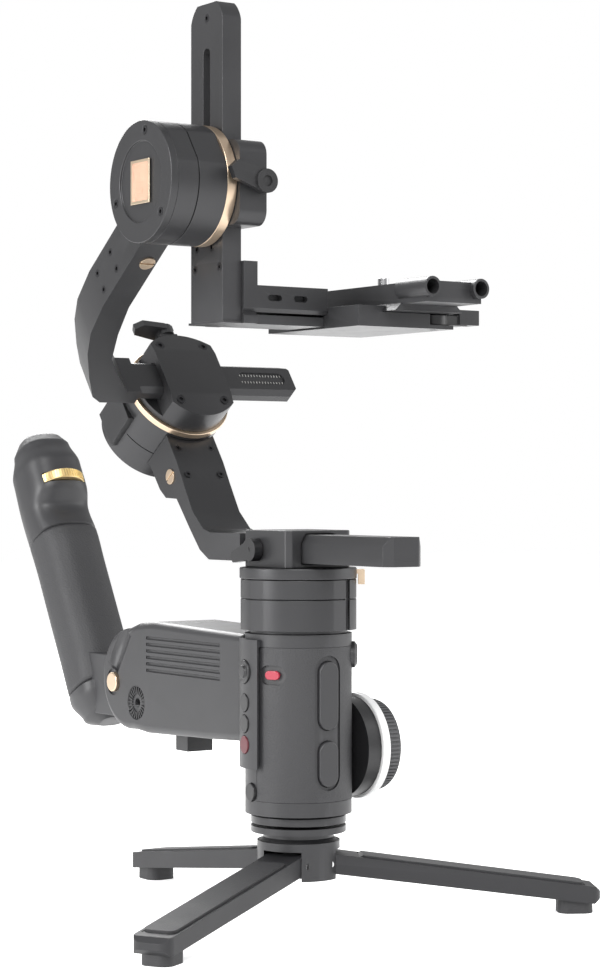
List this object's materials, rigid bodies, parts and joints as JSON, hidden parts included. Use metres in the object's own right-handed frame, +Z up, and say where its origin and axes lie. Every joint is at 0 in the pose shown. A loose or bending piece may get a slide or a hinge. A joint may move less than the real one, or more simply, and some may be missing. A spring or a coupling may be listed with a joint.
{
  "type": "camera gimbal",
  "caption": "Three-axis handheld camera stabiliser with motor joints, quick-release camera plate, folding tripod base, focus wheel and a rear sling handle.",
  "frame": {"origin": "mouth of the threaded socket in the tripod hub's underside, on the yaw axis", "axes": "+Z up along the yaw axis; -Y is where the lens points; +X is the focus wheel's side"},
  "size_m": [0.305, 0.4286, 0.5072],
  "materials": {
    "casing": "satin charcoal anodised casing",
    "shell": "charcoal satin plastic",
    "rubber": "fine pebbled rubber",
    "dark": "near-black plastic",
    "champagne": "champagne anodised",
    "steel": "steel",
    "screw": "blackened steel",
    "white": "white ring and grey knob",
    "red": "red switch cap",
    "cell": "wrapped lithium cells",
    "board": "circuit board"
  },
  "bodies": {
    "grip": {"base_collar": "casing", "grip_shell_left": "shell", "grip_shell_right": "shell", "grip_rubber": "rubber", "battery_cells": "cell", "control_board": "board", "wheel_base": "dark", "yaw_motor_housing": "casing", "connector_body": "shell", "tripod_hub": "casing", "leg_pins": "steel"},
    "leg_left": {"leg_beam_left": "casing", "leg_rubber_left": "rubber"},
    "leg_right": {"leg_beam_right": "casing", "leg_rubber_right": "rubber"},
    "leg_rear": {"leg_beam_rear": "casing", "leg_rubber_rear": "rubber"},
    "yaw_head": {"yaw_rotor": "casing", "yaw_clamp": "casing"},
    "yaw_clamp_lever": {"yaw_clamp_lever": "dark"},
    "yaw_latch": {"yaw_lock_latch": "champagne"},
    "yaw_arm": {"yaw_arm": "casing", "yaw_arm_screws": "screw", "roll_motor_housing": "casing", "roll_ring": "champagne"},
    "roll_knob": {"roll_lock_knob": "champagne"},
    "roll_head": {"roll_clamp": "casing", "roll_clamp_cover": "casing", "roll_clamp_screws": "screw"},
    "roll_lever": {"roll_lever": "dark"},
    "roll_arm": {"roll_arm": "casing", "roll_arm_screws": "screw", "tilt_motor_housing": "casing", "tilt_cap": "casing", "tilt_ring": "champagne"},
    "tilt_knob": {"tilt_lock_knob": "champagne"},
    "tilt_head": {"tilt_clamp": "casing"},
    "tilt_lever": {"tilt_lever": "dark"},
    "camera_mount": {"camera_post": "casing", "camera_arm": "casing", "post_screws": "screw"},
    "plate_base": {"quick_release_base": "casing"},
    "plate_lever": {"quick_release_lever": "dark"},
    "plate": {"quick_release_plate": "casing"},
    "camera_screw": {"camera_screw": "steel"},
    "focus_wheel": {"focus_wheel": "white"},
    "zoom_rocker": {"zoom_rocker": "shell"},
    "function_button": {"function_button": "shell"},
    "mode_switch": {"mode_switch": "red"},
    "joystick": {"joystick": "dark"},
    "side_button_top": {"side_button_top": "dark"},
    "side_button_middle": {"side_button_middle": "dark"},
    "side_button_low": {"side_button_low": "dark"},
    "thumb_button": {"thumb_button": "dark"},
    "release_button": {"release_button": "champagne"},
    "latch": {"latch_plate": "dark"},
    "handle": {"handle_shell": "shell", "handle_grip": "rubber"},
    "handle_dial": {"handle_dial": "champagne"},
    "handle_button": {"handle_button": "dark"}
  },
  "joints": [
    {"name": "leg_fold_left", "type": "hinge", "parent": "grip", "child": "leg_left", "pos_m": [-0.01472, -0.0085, 0.0085], "axis": [0.5, -0.866, 0], "range_deg": [0, 75]},
    {"name": "leg_fold_right", "type": "hinge", "parent": "grip", "child": "leg_right", "pos_m": [0.01472, -0.0085, 0.0085], "axis": [0.5, 0.866, 0], "range_deg": [0, 75]},
    {"name": "leg_fold_rear", "type": "hinge", "parent": "grip", "child": "leg_rear", "pos_m": [0, 0.017, 0.0085], "axis": [-1, 0, 0], "range_deg": [0, 75]},
    {"name": "yaw_turn", "type": "hinge", "parent": "grip", "child": "yaw_head", "pos_m": [0, 0, 0.1689], "axis": [0, 0, 1], "continuous": true},
    {"name": "yaw_balance", "type": "slide", "parent": "yaw_head", "child": "yaw_arm", "axis": [0, 1, 0], "range_m": [-0.012, 0.03]},
    {"name": "yaw_clamp_turn", "type": "hinge", "parent": "yaw_head", "child": "yaw_clamp_lever", "pos_m": [-0.022, 0.009, 0.1852], "axis": [1, 0, 0], "range_deg": [0, 80]},
    {"name": "yaw_latch_slide", "type": "slide", "parent": "yaw_head", "child": "yaw_latch", "axis": [0, 0, -1], "range_m": [0, 0.002]},
    {"name": "roll_turn", "type": "hinge", "parent": "yaw_arm", "child": "roll_head", "pos_m": [0, 0.12366, 0.28378], "axis": [0, -0.8039, 0.5948], "continuous": true},
    {"name": "roll_balance", "type": "slide", "parent": "roll_head", "child": "roll_arm", "axis": [1, 0, 0], "range_m": [-0.03, 0.013]},
    {"name": "roll_lever_turn", "type": "hinge", "parent": "roll_head", "child": "roll_lever", "pos_m": [-0.003, 0.14152, 0.31162], "axis": [0, 0.5948, 0.8039], "range_deg": [0, 60]},
    {"name": "roll_lock_turn", "type": "hinge", "parent": "yaw_arm", "child": "roll_knob", "pos_m": [-0.0165, 0.1133, 0.22675], "axis": [-1, 0, 0], "range_deg": [0, 90]},
    {"name": "tilt_turn", "type": "hinge", "parent": "roll_arm", "child": "tilt_head", "pos_m": [0, -0.013, 0.3849], "axis": [1, 0, 0], "continuous": true},
    {"name": "tilt_lever_turn", "type": "hinge", "parent": "tilt_head", "child": "tilt_lever", "pos_m": [-0.057, -0.048, 0.3849], "axis": [0, -1, 0], "range_deg": [0, 60]},
    {"name": "tilt_lock_turn", "type": "hinge", "parent": "roll_arm", "child": "tilt_knob", "pos_m": [-0.088, 0.01946, 0.34471], "axis": [0, -0.5948, -0.8039], "range_deg": [0, 90]},
    {"name": "post_lift", "type": "slide", "parent": "tilt_head", "child": "camera_mount", "axis": [0, 0, 1], "range_m": [-0.03, 0.015]},
    {"name": "platform_slide", "type": "slide", "parent": "camera_mount", "child": "plate_base", "axis": [1, 0, 0], "range_m": [0, 0.02]},
    {"name": "plate_lever_turn", "type": "hinge", "parent": "plate_base", "child": "plate_lever", "pos_m": [0.055, -0.054, 0.3144], "axis": [0, 0, -1], "range_deg": [0, 45]},
    {"name": "plate_slide", "type": "slide", "parent": "plate_base", "child": "plate", "axis": [0, 1, 0], "range_m": [-0.03, 0.03]},
    {"name": "camera_screw_turn", "type": "hinge", "parent": "plate", "child": "camera_screw", "pos_m": [0.037, -0.031, 0.3249], "axis": [0, 0, 1], "continuous": true},
    {"name": "focus_turn", "type": "hinge", "parent": "grip", "child": "focus_wheel", "pos_m": [0.038, 0, 0.0718], "axis": [1, 0, 0], "continuous": true},
    {"name": "rocker_tilt", "type": "hinge", "parent": "grip", "child": "zoom_rocker", "pos_m": [0, -0.0285, 0.1042], "axis": [1, 0, 0], "range_deg": [-4, 4], "stiffness_Nm_per_rad": 0.05},
    {"name": "function_press", "type": "slide", "parent": "grip", "child": "function_button", "axis": [0, 1, 0], "range_m": [0, 0.0012], "stiffness_N_per_m": 400},
    {"name": "mode_switch_slide", "type": "slide", "parent": "grip", "child": "mode_switch", "axis": [0.4509, -0.8926, 0], "range_m": [-0.002, 0.002]},
    {"name": "joystick_press", "type": "slide", "parent": "grip", "child": "joystick", "axis": [0.989, -0.1478, 0], "range_m": [0, 0.0006], "stiffness_N_per_m": 400},
    {"name": "top_button_press", "type": "slide", "parent": "grip", "child": "side_button_top", "axis": [0.989, -0.1478, 0], "range_m": [0, 0.0006], "stiffness_N_per_m": 400},
    {"name": "middle_button_press", "type": "slide", "parent": "grip", "child": "side_button_middle", "axis": [0.989, -0.1478, 0], "range_m": [0, 0.0006], "stiffness_N_per_m": 400},
    {"name": "low_button_press", "type": "slide", "parent": "grip", "child": "side_button_low", "axis": [0.989, -0.1478, 0], "range_m": [0, 0.0006], "stiffness_N_per_m": 400},
    {"name": "thumb_button_press", "type": "slide", "parent": "grip", "child": "thumb_button", "axis": [0.9976, -0.0698, 0], "range_m": [0, 0.0006], "stiffness_N_per_m": 400},
    {"name": "release_press", "type": "slide", "parent": "grip", "child": "release_button", "axis": [1, 0, 0], "range_m": [0, 0.0012], "stiffness_N_per_m": 400},
    {"name": "latch_press", "type": "slide", "parent": "grip", "child": "latch", "axis": [0, 0, 1], "range_m": [0, 0.001], "stiffness_N_per_m": 600},
    {"name": "sling_fold", "type": "hinge", "parent": "grip", "child": "handle", "pos_m": [0, 0.152, 0.103], "axis": [1, 0, 0], "range_deg": [-45, 0]},
    {"name": "dial_turn", "type": "hinge", "parent": "handle", "child": "handle_dial", "pos_m": [0, 0.286, 0.2222], "axis": [0, 0.4848, 0.8746], "continuous": true},
    {"name": "handle_button_press", "type": "slide", "parent": "handle", "child": "handle_button", "axis": [0, -0.4848, -0.8746], "range_m": [0, 0.001], "stiffness_N_per_m": 400}
  ]
}
